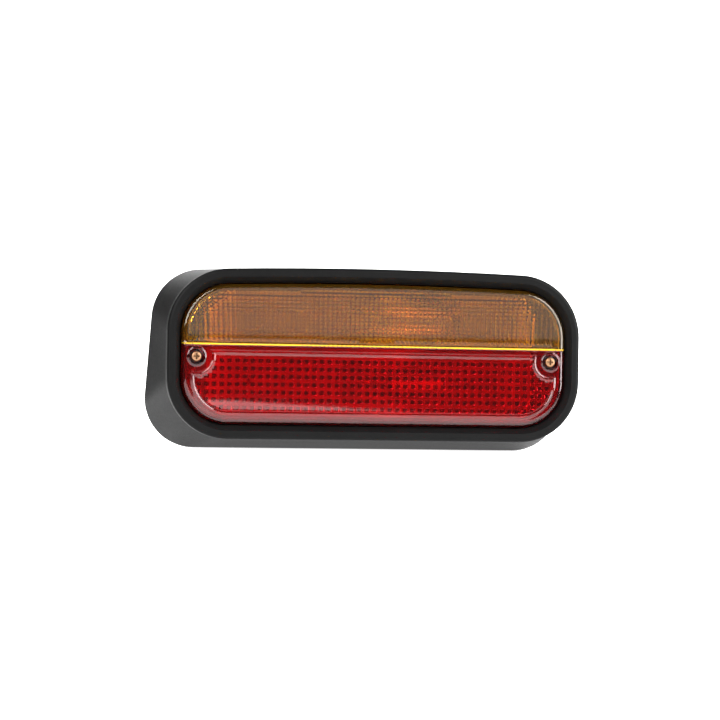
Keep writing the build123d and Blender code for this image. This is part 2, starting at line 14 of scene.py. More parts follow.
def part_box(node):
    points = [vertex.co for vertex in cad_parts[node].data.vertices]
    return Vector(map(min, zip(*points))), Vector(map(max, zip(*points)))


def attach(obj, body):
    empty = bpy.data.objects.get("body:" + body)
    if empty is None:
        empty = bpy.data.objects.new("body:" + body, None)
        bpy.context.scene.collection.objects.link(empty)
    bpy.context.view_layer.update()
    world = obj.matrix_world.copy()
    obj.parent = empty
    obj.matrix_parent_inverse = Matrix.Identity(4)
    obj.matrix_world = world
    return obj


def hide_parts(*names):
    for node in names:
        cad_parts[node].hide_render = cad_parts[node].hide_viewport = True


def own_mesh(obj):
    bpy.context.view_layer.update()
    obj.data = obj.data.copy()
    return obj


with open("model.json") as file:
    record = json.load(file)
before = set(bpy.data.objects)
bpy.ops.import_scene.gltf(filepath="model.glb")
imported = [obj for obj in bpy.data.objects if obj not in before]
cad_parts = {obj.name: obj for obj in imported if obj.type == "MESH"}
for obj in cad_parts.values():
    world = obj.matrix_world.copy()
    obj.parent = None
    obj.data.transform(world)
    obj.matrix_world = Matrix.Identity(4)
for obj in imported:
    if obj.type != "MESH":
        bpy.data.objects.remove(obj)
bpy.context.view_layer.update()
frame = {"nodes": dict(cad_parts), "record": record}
nodes = frame["nodes"]
MM = 0.001

# ---------------------------------------------------------------- sizes that come from the frame
amber_low, amber_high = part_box("amber_lens")
red_low, red_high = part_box("red_lens")
rim_low, rim_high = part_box("housing")
COLOUR_LINE = amber_low.z
LENS_HALF = amber_high.x
LENS_FOOT = red_low.z
LENS_PEAK = amber_high.z
LENS_FRONT = amber_low.y
LENS_BACK = amber_high.y

# ---------------------------------------------------------------- the lens's own sizes
ARCH_RISE = 2.38 * MM
TOP_RADIUS = 26 * MM
FOOT_RADIUS = 25 * MM
SKIN = 2.2 * MM
EDGE_ROUND = 2.4 * MM
CROWN_DEPTH = 0.5 * MM
LOOP_POINTS = 420
OUTER_INSETS = [0.0, 0.08, 0.25, 0.55, 0.95, 1.4, 1.9, 2.4, 3.4, 4.4, 5.4]
INNER_ROUND = 1.2 * MM
INNER_INSETS = [0.0, 0.1, 0.3, 0.6, 0.9, 1.2]


def screw_places():
    """The two screws' axes, from the washers under their heads."""
    places = []
    for side in ("left", "right"):
        low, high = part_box("screw_washer_" + side)
        places.append(((low.x + high.x) / 2, (low.z + high.z) / 2))
    return places


SCREWS = screw_places()
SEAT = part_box("screw_washer_left")[1].y
RECESS_RADIUS = 3.95 * MM
RECESS_RING = 5.1 * MM
RING_HEIGHT = 0.45 * MM
BOSS_RADIUS = 4.9 * MM
BOSS_BACK = -43.0 * MM
HOLE_RADIUS = 1.75 * MM


# ---------------------------------------------------------------- small mesh tools
def lens_outline(inset):
    """The lens's outline moved in by inset: a loop of (x, z) points, clockwise from the right foot corner."""
    half = LENS_HALF - inset
    foot = LENS_FOOT + inset
    peak = LENS_PEAK - inset
    top_r = TOP_RADIUS - inset
    foot_r = FOOT_RADIUS - inset
    rise = ARCH_RISE * (half / LENS_HALF) ** 2

    def arch(x):
        return peak - rise * (x / half) ** 2

    slope = 2 * rise * (half - top_r) / half ** 2
    lean = math.atan(slope)
    touch = half - top_r + top_r * math.sin(lean)
    centre_x = half - top_r
    centre_z = arch(touch) - top_r * math.cos(lean)
    right = []
    corner_steps = 60
    side_steps = 16
    top_steps = 74
    foot_steps = 54
    for i in range(foot_steps):
        right.append(((half - foot_r) * i / foot_steps, foot))
    for i in range(corner_steps):
        turn = -math.pi / 2 + math.pi / 2 * i / corner_steps
        right.append((half - foot_r + foot_r * math.cos(turn), foot + foot_r + foot_r * math.sin(turn)))
    for i in range(side_steps):
        right.append((half, foot + foot_r + (centre_z - foot - foot_r) * i / side_steps))
    for i in range(corner_steps):
        turn = (math.pi / 2 - lean) * i / corner_steps
        right.append((centre_x + top_r * math.cos(turn), centre_z + top_r * math.sin(turn)))
    for i in range(top_steps):
        x = touch * (1 - i / top_steps)
        right.append((x, arch(x)))
    left = [(-x, z) for x, z in reversed(right[1:])]
    return right + [(0.0, peak)] + left


def inside(point, loop):
    """True if the point lies in the loop, by the crossing rule."""
    x, z = point
    hit = False
    last = loop[-1]
    for here in loop:
        if (here[1] > z) != (last[1] > z):
            if x < (last[0] - here[0]) * (z - here[1]) / (last[1] - here[1]) + here[0]:
                hit = not hit
        last = here
    return hit


def inset_of(x, z):
    """How far a point lies inside the lens's outline."""
    arch = LENS_PEAK - ARCH_RISE * (x / LENS_HALF) ** 2
    reach = abs(x)
    best = min(LENS_HALF - reach, z - LENS_FOOT, arch - z)
    corner_x = LENS_HALF - FOOT_RADIUS
    corner_z = LENS_FOOT + FOOT_RADIUS
    if reach > corner_x and z < corner_z:
        return FOOT_RADIUS - math.hypot(reach - corner_x, z - corner_z)
    corner_x = LENS_HALF - TOP_RADIUS
    corner_z = LENS_PEAK - ARCH_RISE * (corner_x / LENS_HALF) ** 2 - TOP_RADIUS
    if reach > corner_x and z > corner_z:
        return TOP_RADIUS - math.hypot(reach - corner_x, z - corner_z)
    return best


def circle(centre, radius, count):
    """Points round a circle."""
    return [
        (
            centre[0] + radius * math.cos(2 * math.pi * i / count),
            centre[1] + radius * math.sin(2 * math.pi * i / count),
        )
        for i in range(count)
    ]


def sheet(border, holes, points):
    """Triangles over the inside of a border loop, round the holes, using the points given.

    Returns the flat points and the triangles; the border's points come first, then each hole's."""
    flat = list(border)
    edges = [(i, (i + 1) % len(border)) for i in range(len(border))]
    for hole in holes:
        start = len(flat)
        flat += hole
        edges += [(start + i, start + (i + 1) % len(hole)) for i in range(len(hole))]
    flat += points
    made, _, faces, origin, _, _ = delaunay_2d_cdt([Vector(p) for p in flat], edges, [], 0, 1e-7)
    kept = []
    for face in faces:
        x = sum(made[i][0] for i in face) / 3
        z = sum(made[i][1] for i in face) / 3
        if not inside((x, z), border):
            continue
        if any(inside((x, z), hole) for hole in holes):
            continue
        kept.append(tuple(face))
    return [(p[0], p[1]) for p in made], kept


def new_object(name, bm, material, body, smooth_angle=35):
    """A finished piece from a bmesh: normals set, sharp edges marked, and riding on its body."""
    mesh = bpy.data.meshes.new(name)
    bm.to_mesh(mesh)
    bm.free()
    mesh.shade_smooth()
    mesh.set_sharp_from_angle(angle=math.radians(smooth_angle))
    mesh.materials.append(material)
    piece = bpy.data.objects.new(name, mesh)
    bpy.context.scene.collection.objects.link(piece)
    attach(piece, body)
    return piece


# ---------------------------------------------------------------- materials
ACRYLIC_IOR = 1.49


class Look:
    """A material with its node tree and a short way to add nodes."""

    def __init__(self, name):
        self.material = bpy.data.materials.new(name)
        self.material.use_nodes = True
        self.tree = self.material.node_tree
        self.shader = self.tree.nodes["Principled BSDF"]
        self.place = self.add("ShaderNodeTexCoord").outputs["Object"]

    def add(self, kind, **settings):
        node = self.tree.nodes.new(kind)
        for key, value in settings.items():
            setattr(node, key, value)
        return node

    def link(self, out, into):
        self.tree.links.new(out, into)

    def set(self, **values):
        for key, value in values.items():
            self.shader.inputs[key.replace("_", " ")].default_value = value
        return self

    def noise(self, scale, detail=4.0, rough=0.55, stretch=None):
        node = self.add("ShaderNodeTexNoise")
        node.inputs["Scale"].default_value = scale
        node.inputs["Detail"].default_value = detail
        node.inputs["Roughness"].default_value = rough
        source = self.place
        if stretch:
            mapping = self.add("ShaderNodeMapping")
            mapping.inputs["Scale"].default_value = stretch
            self.link(source, mapping.inputs["Vector"])
            source = mapping.outputs["Vector"]
        self.link(source, node.inputs["Vector"])
        return node.outputs["Fac"]

    def ramp(self, value, low, high, start=0.3, end=0.7):
        node = self.add("ShaderNodeMapRange")
        node.inputs["From Min"].default_value = start
        node.inputs["From Max"].default_value = end
        node.inputs["To Min"].default_value = low
        node.inputs["To Max"].default_value = high
        self.link(value, node.inputs["Value"])
        return node.outputs["Result"]

    def blend(self, value, first, second, start=0.3, end=0.7):
        node = self.add("ShaderNodeMix", data_type="RGBA")
        node.inputs["A"].default_value = (*first, 1)
        node.inputs["B"].default_value = (*second, 1)
        self.link(self.ramp(value, 0, 1, start, end), node.inputs["Factor"])
        return node.outputs["Result"]

    def bump(self, height, strength, distance):
        node = self.add("ShaderNodeBump")
        node.inputs["Strength"].default_value = strength
        node.inputs["Distance"].default_value = distance
        self.link(height, node.inputs["Height"])
        self.link(node.outputs["Normal"], self.shader.inputs["Normal"])
        return self

    def clouded(self, colour, scale, detail, low):
        """A colour, darkened in faint clouds down to low."""
        node = self.add("ShaderNodeMix", data_type="RGBA", blend_type="MULTIPLY")
        node.inputs["Factor"].default_value = 1.0
        self.link(colour, node.inputs["A"])
        self.link(self.blend(self.noise(scale, detail), (low, low, low), (1, 1, 1)), node.inputs["B"])
        return node.outputs["Result"]

    def colour(self, out):
        self.link(out, self.shader.inputs["Base Color"])
        return self

    def rough(self, out):
        self.link(out, self.shader.inputs["Roughness"])
        return self


def moulded(name, dark, light, rough_low, rough_high, grain=2600, depth=0.00003, strength=0.4, shine=0.5):
    """Moulded plastic or rubber: fine grain, faint cloudy colour and roughness."""
    look = Look(name)
    look.colour(look.blend(look.noise(55, 5), dark, light))
    look.rough(look.ramp(look.noise(900, 3), rough_low, rough_high))
    look.set(Specular_IOR_Level=shine)
    look.bump(look.noise(grain, 3), strength, depth)
    return look.material


def metal(name, dark, light, rough_low, rough_high, stretch=(1, 1, 1), grain=500, depth=0.00001):
    """Drawn, rolled or plated metal: streaks along one way and patchy tarnish."""
    look = Look(name)
    look.set(Metallic=1.0)
    look.colour(look.blend(look.noise(120, 6), dark, light))
    look.rough(look.ramp(look.noise(grain, 5, 0.6, stretch), rough_low, rough_high))
    look.bump(look.noise(grain, 4, 0.6, stretch), 0.25, depth)
    return look.material


def clear_plastic(name, tint, deep, roughness):
    """Clear glass or acrylic, with the faintest ripple from the mould."""
    look = Look(name)
    look.set(IOR=ACRYLIC_IOR, Transmission_Weight=1.0, Roughness=roughness)
    look.colour(look.blend(look.noise(26, 2), tint, deep))
    look.bump(look.noise(60, 2), 0.08, 0.0002)
    return look.material


def lens_plastic(name, deep, light, bright, painted_edge_light, clear):
    """Tinted acrylic: deep where the optics are thick, light between them; the bright colour is for painted
    glints and the last colour for a painted glow along the colour line and painted highlights on the lower edges
    of red bosses.
    """
    look = Look(name)
    look.set(IOR=ACRYLIC_IOR, Roughness=0.035)
    tone = look.add("ShaderNodeAttribute", attribute_name="tone").outputs["Fac"]
    # the lens's own tint runs from deep to light; the bright and last stops are painted light: painted glints, a
    # painted glow and painted highlights
    ramp = look.add("ShaderNodeValToRGB")
    ramp.color_ramp.elements[0].color = (*deep, 1)
    ramp.color_ramp.elements[1].color = (*painted_edge_light, 1)
    ramp.color_ramp.elements.new(0.5).color = (*light, 1)
    ramp.color_ramp.elements.new(0.75).color = (*bright, 1)
    look.link(look.ramp(tone, 0, 1, 0, 2), ramp.inputs["Fac"])
    look.colour(look.clouded(ramp.outputs["Color"], 90, 3, 0.9))
    # the optics' face scatters a little, the polished front doesn't
    inside_face = look.add("ShaderNodeAttribute", attribute_name="optic_face").outputs["Fac"]
    clearness = look.add("ShaderNodeMath", operation="MULTIPLY")
    look.link(look.ramp(inside_face, 0.98, clear, 0, 1), clearness.inputs[0])
    # where the painted glow and painted highlights lie, less light passes, so their painted colour shows
    look.link(look.ramp(tone, 1, 0.35, 1.6, 1.9), clearness.inputs[1])
    look.link(clearness.outputs[0], look.shader.inputs["Transmission Weight"])
    look.bump(look.noise(60, 2), 0.06, 0.0002)
    return look.material


def reflector(name):
    """Metallised tray with painted glints: its colour is painted bright at its ends and behind the bulb, and
    dull between.
    """
    look = Look(name)
    look.set(Metallic=1.0)
    split = look.add("ShaderNodeSeparateXYZ")
    look.link(look.place, split.inputs["Vector"])
    # painted glints: the tray's colour is painted bright at both ends and at the listed places along X, dull
    # between
    glint_stops = look.add("ShaderNodeValToRGB")
    first, last = glint_stops.color_ramp.elements
    first.color = (0.95, 0.95, 0.95, 1)
    last.color = (0.95, 0.95, 0.95, 1)
    for x_mm, level in PAINTED_GLINT_STOPS:
        glint_stops.color_ramp.elements.new((x_mm + 100) / 200).color = (level, level, level, 1)
    look.link(look.ramp(split.outputs["X"], 0, 1, -0.1, 0.1), glint_stops.inputs["Fac"])
    look.colour(look.clouded(glint_stops.outputs["Color"], 60, 5, 0.8))
    look.rough(look.ramp(glint_stops.outputs["Color"], 0.32, 0.7, 0.3, 1.0))
    look.bump(look.noise(300, 3), 0.15, 0.00005)
    return look.material


# Painted glints: how bright the metallised trays' colour is painted along X: (mm, brightness)
PAINTED_GLINT_STOPS = (
    (-82, 0.95),
    (-74, 0.26),
    (-26, 0.26),
    (-6, 0.62),
    (8, 1.0),
    (22, 1.0),
    (34, 0.26),
    (80, 0.26),
    (88, 1.0),
)

BLACK_PLASTIC = moulded("black_plastic", (0.003, 0.003, 0.003), (0.004, 0.004, 0.004), 0.42, 0.48, shine=0.06)
RUBBER = moulded("black_rubber", (0.018, 0.018, 0.018), (0.03, 0.03, 0.03), 0.6, 0.8, 1800)
# Each lens: its deep and light tint, then two painted-light colours: bright for painted glints, and the last for
# the painted glow along the colour line (amber) or the painted highlights on the bosses' lower edges (red).
AMBER = lens_plastic(
    "amber_acrylic", (0.4, 0.08, 0.008), (1.0, 0.5, 0.02), (1.0, 0.88, 0.03), (0.95, 0.36, 0.01), 0.95
)
RED = lens_plastic(
    "red_acrylic", (0.07, 0.001, 0.003), (0.86, 0.007, 0.014), (1.0, 0.035, 0.045), (1.0, 0.22, 0.22), 0.8
)
YELLOW_ZINC = metal("yellow_zinc", (0.22, 0.12, 0.06), (0.36, 0.2, 0.11), 0.3, 0.46)
ZINC = metal("bright_zinc", (0.5, 0.51, 0.53), (0.66, 0.67, 0.69), 0.22, 0.42, (1, 8, 1))
MIRROR = reflector("metallised")
BRASS = metal("brass", (0.62, 0.42, 0.14), (0.8, 0.6, 0.26), 0.2, 0.4, (1, 6, 6))
SOLDER = metal("solder", (0.42, 0.42, 0.42), (0.6, 0.6, 0.61), 0.35, 0.6)
TUNGSTEN = metal("tungsten_wire", (0.2, 0.2, 0.21), (0.34, 0.34, 0.35), 0.3, 0.5)
SPRING_STEEL = metal("spring_wire", (0.3, 0.3, 0.32), (0.5, 0.5, 0.52), 0.2, 0.36)
PHENOLIC = moulded("brown_laminate", (0.16, 0.07, 0.03), (0.26, 0.12, 0.05), 0.35, 0.55, 900)
BLACK_GLASS = moulded("black_glass", (0.008, 0.008, 0.012), (0.014, 0.014, 0.02), 0.06, 0.14, 300)
BULB_GLASS = clear_plastic("bulb_glass", (0.98, 0.99, 1.0), (0.95, 0.97, 0.98), 0.01)

FINISH = {
    "black_plastic": BLACK_PLASTIC,
    "amber_lens": AMBER,
    "red_lens": RED,
    "black_rubber": RUBBER,
    "washer_rubber": RUBBER,
    "zinc_screw": YELLOW_ZINC,
    "zinc_stud": ZINC,
    "zinc_holder": ZINC,
    "metallised_reflector": MIRROR,
    "bulb_glass": BULB_GLASS,
    "tungsten": TUNGSTEN,
    "brass_cap": BRASS,
    "brass": BRASS,
    "black_glass": BLACK_GLASS,
    "solder": SOLDER,
    "phenolic": PHENOLIC,
    "spring_steel": SPRING_STEEL,
}


def dress_nodes():
    """Every CAD node gets the material of its slot."""
    for part in frame["record"]["subparts"]:
        node = nodes[part["node"]]
        material = FINISH[part["material_slot"]]
        if not node.material_slots:
            node.data.materials.append(material)
        for held in node.material_slots:
            held.material = material


dress_nodes()


# ---------------------------------------------------------------- the lens
def crown(x, z):
    """The lens's front is very slightly domed: this is how far it falls back from its middle."""
    middle = (LENS_PEAK + LENS_FOOT) / 2
    half_height = (LENS_PEAK - LENS_FOOT) / 2
    return CROWN_DEPTH * ((z - middle) / half_height) ** 2 + 0.4 * CROWN_DEPTH * (x / LENS_HALF) ** 2


def step(value, start, end):
    """0 before start, 1 after end, smooth between."""
    t = min(max((value - start) / (end - start), 0), 1)
    return t * t * (3 - 2 * t)


def round_off(inset, radius):
    """How far a rounded edge falls back, this far in from it."""
    if inset >= radius:
        return 0.0
    return radius - math.sqrt(max(radius ** 2 - (radius - inset) ** 2, 0))


PANEL_INSET = 5.6 * MM
PANEL_TOP = COLOUR_LINE - 6.4 * MM + 2.6 * MM
SCREW_BAY = 9.0 * MM
BEAD_HEIGHT = 0.42 * MM
BEAD_MIDDLE = 0.4 * MM
BEAD_SPREAD = 0.55 * MM
BAND_STEP = 0.35 * MM


def panel_depth(x, z):
    """How far inside the red panel's border a point lies: the border dips round both screws."""
    depth = min(inset_of(x, z) - PANEL_INSET, PANEL_TOP - z)
    for place in SCREWS:
        depth = min(depth, math.hypot(x - place[0], z - place[1]) - SCREW_BAY)
    return depth


def outer_height(x, z):
    """The outer face's Y at a point, relief included."""
    inset = inset_of(x, z)
    y = LENS_FRONT + crown(x, z) + round_off(inset, EDGE_ROUND)
    if z < COLOUR_LINE:
        depth = panel_depth(x, z)
        # the border is a low rounded bead, and the panel inside it lies a little lower than the bead
        bead = math.exp(-((depth - BEAD_MIDDLE) / BEAD_SPREAD) ** 2)
        y -= BEAD_HEIGHT * bead
        # the smooth band under the colour line steps back
        y += BAND_STEP * step(COLOUR_LINE - z, 0.0, 0.5 * MM)
        for place in SCREWS:
            away = math.hypot(x - place[0], z - place[1])
            y -= RING_HEIGHT * (1 - step(away, RECESS_RING - 0.5 * MM, RECESS_RING + 0.25 * MM))
    else:
        y -= BAND_STEP * (1 - step(z - COLOUR_LINE, 0.9 * MM, 1.5 * MM))
    return y


# The red optics: square bosses in rows. The amber ones: small prisms in finer rows.
RED_COLUMNS = 47
RED_ROWS = 7
RED_PITCH = 4.2 * MM
RED_FIRST_ROW = COLOUR_LINE - 8.4 * MM
RED_BOSS = 0.9 * MM
RED_SLOPE = 0.45 * MM
RED_RELIEF = 0.9 * MM
RED_MARGIN = 1.1 * MM
AMBER_PITCH_X = 2.5 * MM
AMBER_PITCH_Z = 2.1 * MM
AMBER_RELIEF = 0.42 * MM
AMBER_FIELD = 4.2 * MM
AMBER_FOOT = 2.2 * MM
AMBER_FAN = 0.35


def red_relief(x, z):
    """How far a red boss stands out of the inner face."""
    if panel_depth(x, z) < RED_MARGIN:
        return 0.0
    column = x / RED_PITCH
    row = (RED_FIRST_ROW - z) / RED_PITCH
    if row < -0.5 or row > RED_ROWS - 0.5:
        return 0.0
    off_x = abs(column - round(column)) * RED_PITCH
    off_z = abs(row - round(row)) * RED_PITCH
    reach = max(off_x, off_z)
    return RED_RELIEF * (1 - step(reach, RED_BOSS, RED_BOSS + RED_SLOPE))


def amber_cell(x, z):
    """How far off its prism's middle a point lies, 0 to 1 along X and Z; the columns fan out slightly upward."""
    across = x / (1 + AMBER_FAN * (z - COLOUR_LINE)) / AMBER_PITCH_X
    up = (z - COLOUR_LINE) / AMBER_PITCH_Z
    return 2 * abs(across - round(across)), 2 * abs(up - round(up))


def amber_relief(x, z):
    """The amber prisms: a dome in each cell."""
    if inset_of(x, z) < AMBER_FIELD or z < COLOUR_LINE + AMBER_FOOT:
        return 0.0
    off_x, off_z = amber_cell(x, z)
    return AMBER_RELIEF * (1 - off_x ** 2) + AMBER_RELIEF * 0.8 * (1 - off_z ** 2)


def outer_tone(x, z):
    """The outer face is plain, but for a painted glow along the amber's foot at the colour line."""
    if z > COLOUR_LINE:
        # painted glow: the amber is painted bright just above the colour line
        return 0.75 + 1.15 * (1 - step(z - COLOUR_LINE, 0.7 * MM, 1.3 * MM))
    return 0.75


def painted_glint_zones(x):
    """Painted glints: how much painted light the lens's colour takes at this part of the lens, most at both ends
    and near the middle.
    """
    level = 0.0
    for middle, spread_mm in ((-95.0, 6.0), (6.0, 17.0), (88.0, 8.0)):
        level += math.exp(-((x / MM - middle) / spread_mm) ** 2)
    return min(level, 1.0)


def inner_tone(x, z):
    """0 on a red boss's thick top, lighter where the plastic is thin, with a painted highlight on each red
    boss's lower edge; each amber prism is painted lighter at its middle as a glint, and painted glints are added
    in the glint zones.
    """
    if z < COLOUR_LINE:
        if panel_depth(x, z) < RED_MARGIN:
            return 0.6
        row = (RED_FIRST_ROW - z) / RED_PITCH
        if row < -0.5 or row > RED_ROWS - 0.5:
            return 0.5
        off_x = abs(x / RED_PITCH - round(x / RED_PITCH)) * RED_PITCH
        off_z = (round(row) - row) * RED_PITCH
        if max(off_x, abs(off_z)) <= RED_BOSS + 0.02 * MM:
            return 0.0
        if max(off_x, abs(off_z)) < RED_BOSS + 0.4 * MM:
            # painted highlight on each boss's lower edge; its other edges take a middle tone
            return 1.6 if off_z < -0.4 * RED_BOSS else 0.45
        # gaps: lighter between rows than between columns, with painted glints added in the glint zones
        return (1.0 if abs(off_z) > RED_BOSS else 0.7) + 0.4 * painted_glint_zones(x - 14 * MM)
    if inset_of(x, z) < AMBER_FIELD or z < COLOUR_LINE + AMBER_FOOT:
        return 0.55
    off_x, off_z = amber_cell(x, z)
    # painted glints: the amber's tone is raised in the glint zones
    bright = 0.62 + 0.9 * painted_glint_zones(x)
    # each prism is painted lighter at its middle as a glint, darker toward its borders
    return bright * (1.0 - 0.8 * max(off_x, off_z) ** 2)


def inner_height(x, z, inset):
    """The inner face's Y at a point, optics included."""
    y = LENS_FRONT + SKIN + crown(x, z) + round_off(inset, INNER_ROUND)
    if z < COLOUR_LINE:
        return y + red_relief(x, z)
    return y + amber_relief(x, z)


def spread(low, high, pitch):
    """Evenly spaced values from low to high."""
    count = max(int(round((high - low) / pitch)), 1)
    return [low + (high - low) * i / count for i in range(count + 1)]


def clear_of_screws(point, margin):
    return all(math.hypot(point[0] - c[0], point[1] - c[1]) > margin for c in SCREWS)


def outer_points():
    """Points for the outer face: its rounded edge, the red panel's border, the rings and a coarse fill."""
    points = []
    for inset in OUTER_INSETS[1:]:
        points += lens_outline(inset * MM)
    for z in spread(LENS_FOOT, LENS_PEAK, 1.6 * MM):
        for x in spread(-LENS_HALF, LENS_HALF, 2.4 * MM):
            if inset_of(x, z) > (OUTER_INSETS[-1] + 1.0) * MM:
                points.append((x, z))
    # fine rows across the colour line and the top of the red panel
    fine = [COLOUR_LINE + step_mm * MM for step_mm in (1.6, 1.3, 1.0, 0.8, 0.05, -0.05, -0.25, -0.5)]
    fine += [PANEL_TOP + step_mm * MM for step_mm in (1.2, 0.7, 0.3, 0.0, -0.3, -0.6, -0.9, -1.3, -1.8)]
    for z in fine:
        for x in spread(-LENS_HALF, LENS_HALF, 1.2 * MM):
            if inset_of(x, z) > 0.3 * MM:
                points.append((x, z))
    for inset in (4.4, 4.9, 5.3, 6.0, 6.4, 6.8, 7.4, 8.2):
        points += [p for p in lens_outline(inset * MM) if p[1] < COLOUR_LINE - 1.5 * MM]
    for centre in SCREWS:
        for radius in (4.25, 4.55, 4.85, 5.1, 5.35, 5.8, 8.0, 8.4, 8.8, 9.2, 9.6, 10.0, 10.6):
            ring = circle(centre, radius * MM, 72)
            points += [p for p in ring if inset_of(*p) > 0.3 * MM and p[1] < COLOUR_LINE - 0.2 * MM]
    return [p for p in points if clear_of_screws(p, RECESS_RADIUS + 0.1 * MM)]


def inner_points():
    """Points for the inner face: the round at its edge and both fields of optics."""
    points = []
    inner_half = LENS_HALF - SKIN
    for inset in INNER_INSETS[1:]:
        points += lens_outline(SKIN + inset * MM)
    # red bosses: the corners of each boss's top and foot, so that its edges stay crisp
    offsets = (-RED_BOSS - RED_SLOPE, -RED_BOSS - 0.22 * MM, -RED_BOSS, 0.0,
               RED_BOSS, RED_BOSS + 0.22 * MM, RED_BOSS + RED_SLOPE)
    half_columns = RED_COLUMNS // 2
    for row in range(RED_ROWS):
        for column in range(-half_columns, half_columns + 1):
            for dz in offsets:
                for dx in offsets:
                    x = column * RED_PITCH + dx
                    z = RED_FIRST_ROW - row * RED_PITCH + dz
                    if panel_depth(x, z) > 0.5 * MM:
                        points.append((x, z))
    # amber prisms: four steps across each cell, along the fanned flutes
    columns = int(inner_half / AMBER_PITCH_X) + 2
    rows = int((LENS_PEAK - COLOUR_LINE) / AMBER_PITCH_Z) + 1
    for j in range(2 * rows + 1):
        z = COLOUR_LINE + j * AMBER_PITCH_Z / 2
        for i in range(-4 * columns, 4 * columns + 1):
            x = i / 4 * AMBER_PITCH_X * (1 + AMBER_FAN * (z - COLOUR_LINE))
            if inset_of(x, z) > AMBER_FIELD - 1 * MM and z > COLOUR_LINE + 1 * MM:
                points.append((x, z))
    return [p for p in points if clear_of_screws(p, BOSS_RADIUS + 0.15 * MM)]


def build_lens():
    """The whole lens as one closed skin: outer face, optics inside, skirt, and tubes round the screws."""
    outer_border = lens_outline(0.0)
    inner_border = lens_outline(SKIN)
    count = len(outer_border)
    bm = bmesh.new()

    # both layers are made before either is looked up, because making one moves the other
    for layer in ("optic_face", "tone"):
        bm.verts.layers.float.new(layer)
    tone_layer = bm.verts.layers.float["tone"]
    face_layer = bm.verts.layers.float["optic_face"]

    def lay(border, holes, points, height, tone, optics):
        flat, faces = sheet(border, holes, points)
        verts = [bm.verts.new((x, height(x, z), z)) for x, z in flat]
        for vert in verts:
            vert[tone_layer] = tone(vert.co.x, vert.co.z)
            vert[face_layer] = optics
        for face in faces:
            bm.faces.new([verts[i] for i in face])
        return verts

    ring_count = 48
    outer_holes = [circle(c, RECESS_RADIUS, ring_count) for c in SCREWS]
    inner_holes = [circle(c, BOSS_RADIUS, ring_count) for c in SCREWS]
    outer = lay(outer_border, outer_holes, outer_points(), outer_height, outer_tone, 0.0)
    inner = lay(
        inner_border,
        inner_holes,
        inner_points(),
        lambda x, z: inner_height(x, z, inset_of(x, z) - SKIN),
        inner_tone,
        1.0,
    )

    def wall(first, second):
        total = len(first)
        for i in range(total):
            j = (i + 1) % total
            bm.faces.new((first[i], first[j], second[j], second[i]))

    # skirt: down the outside, across its back edge, and up the inside
    outer_ring = outer[:count]
    inner_ring = inner[:count]
    outer_back = [bm.verts.new((v.co.x, LENS_BACK, v.co.z)) for v in outer_ring]
    inner_back = [bm.verts.new((v.co.x, LENS_BACK, v.co.z)) for v in inner_ring]
    wall(outer_ring, outer_back)
    wall(outer_back, inner_back)
    wall(inner_back, inner_ring)
    # screw tubes: recess wall, seat, hole, boss end and boss wall
    for index, centre in enumerate(SCREWS):
        start = count + index * ring_count
        top = outer[start:start + ring_count]
        foot = inner[start:start + ring_count]
        seat_edge = [bm.verts.new((v.co.x, SEAT, v.co.z)) for v in top]
        hole = circle(centre, HOLE_RADIUS, ring_count)
        seat_hole = [bm.verts.new((x, SEAT, z)) for x, z in hole]
        back_hole = [bm.verts.new((x, BOSS_BACK, z)) for x, z in hole]
        back_edge = [bm.verts.new((v.co.x, BOSS_BACK, v.co.z)) for v in foot]
        for first, second in ((top, seat_edge), (seat_edge, seat_hole), (seat_hole, back_hole),
                              (back_hole, back_edge), (back_edge, foot)):
            wall(first, second)
    bmesh.ops.remove_doubles(bm, verts=bm.verts, dist=1e-7)
    bmesh.ops.recalc_face_normals(bm, faces=bm.faces)
    return bm


def half_lens(whole, above):
    """The part of the lens above or below the colour line, closed along the cut."""
    bm = whole.copy()
    gap = 0.03 * MM
    height = COLOUR_LINE + gap if above else COLOUR_LINE - gap
    geometry = bm.verts[:] + bm.edges[:] + bm.faces[:]
    cut = bmesh.ops.bisect_plane(
        bm,
        geom=geometry,
        plane_co=(0, 0, height),
        plane_no=(0, 0, 1),
        clear_outer=not above,
        clear_inner=above,
    )
    edges = [e for e in cut["geom_cut"] if isinstance(e, bmesh.types.BMEdge)]
    bmesh.ops.triangle_fill(bm, use_beauty=True, edges=edges)
    bmesh.ops.recalc_face_normals(bm, faces=bm.faces)
    return bm


def make_lens():
    whole = build_lens()
    amber = new_object("amber_lens_optics", half_lens(whole, True), AMBER, "lens", 28)
    red = new_object("red_lens_optics", half_lens(whole, False), RED, "lens", 28)
    whole.free()
    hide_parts("amber_lens")
    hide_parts("red_lens")


make_lens()


# ---------------------------------------------------------------- springs behind the bulbs
SPRING_WIRE = 0.45 * MM
SPRING_TURNS = 4
SPRING_TURN_STEPS = 44
SPRING_SIDES = 12


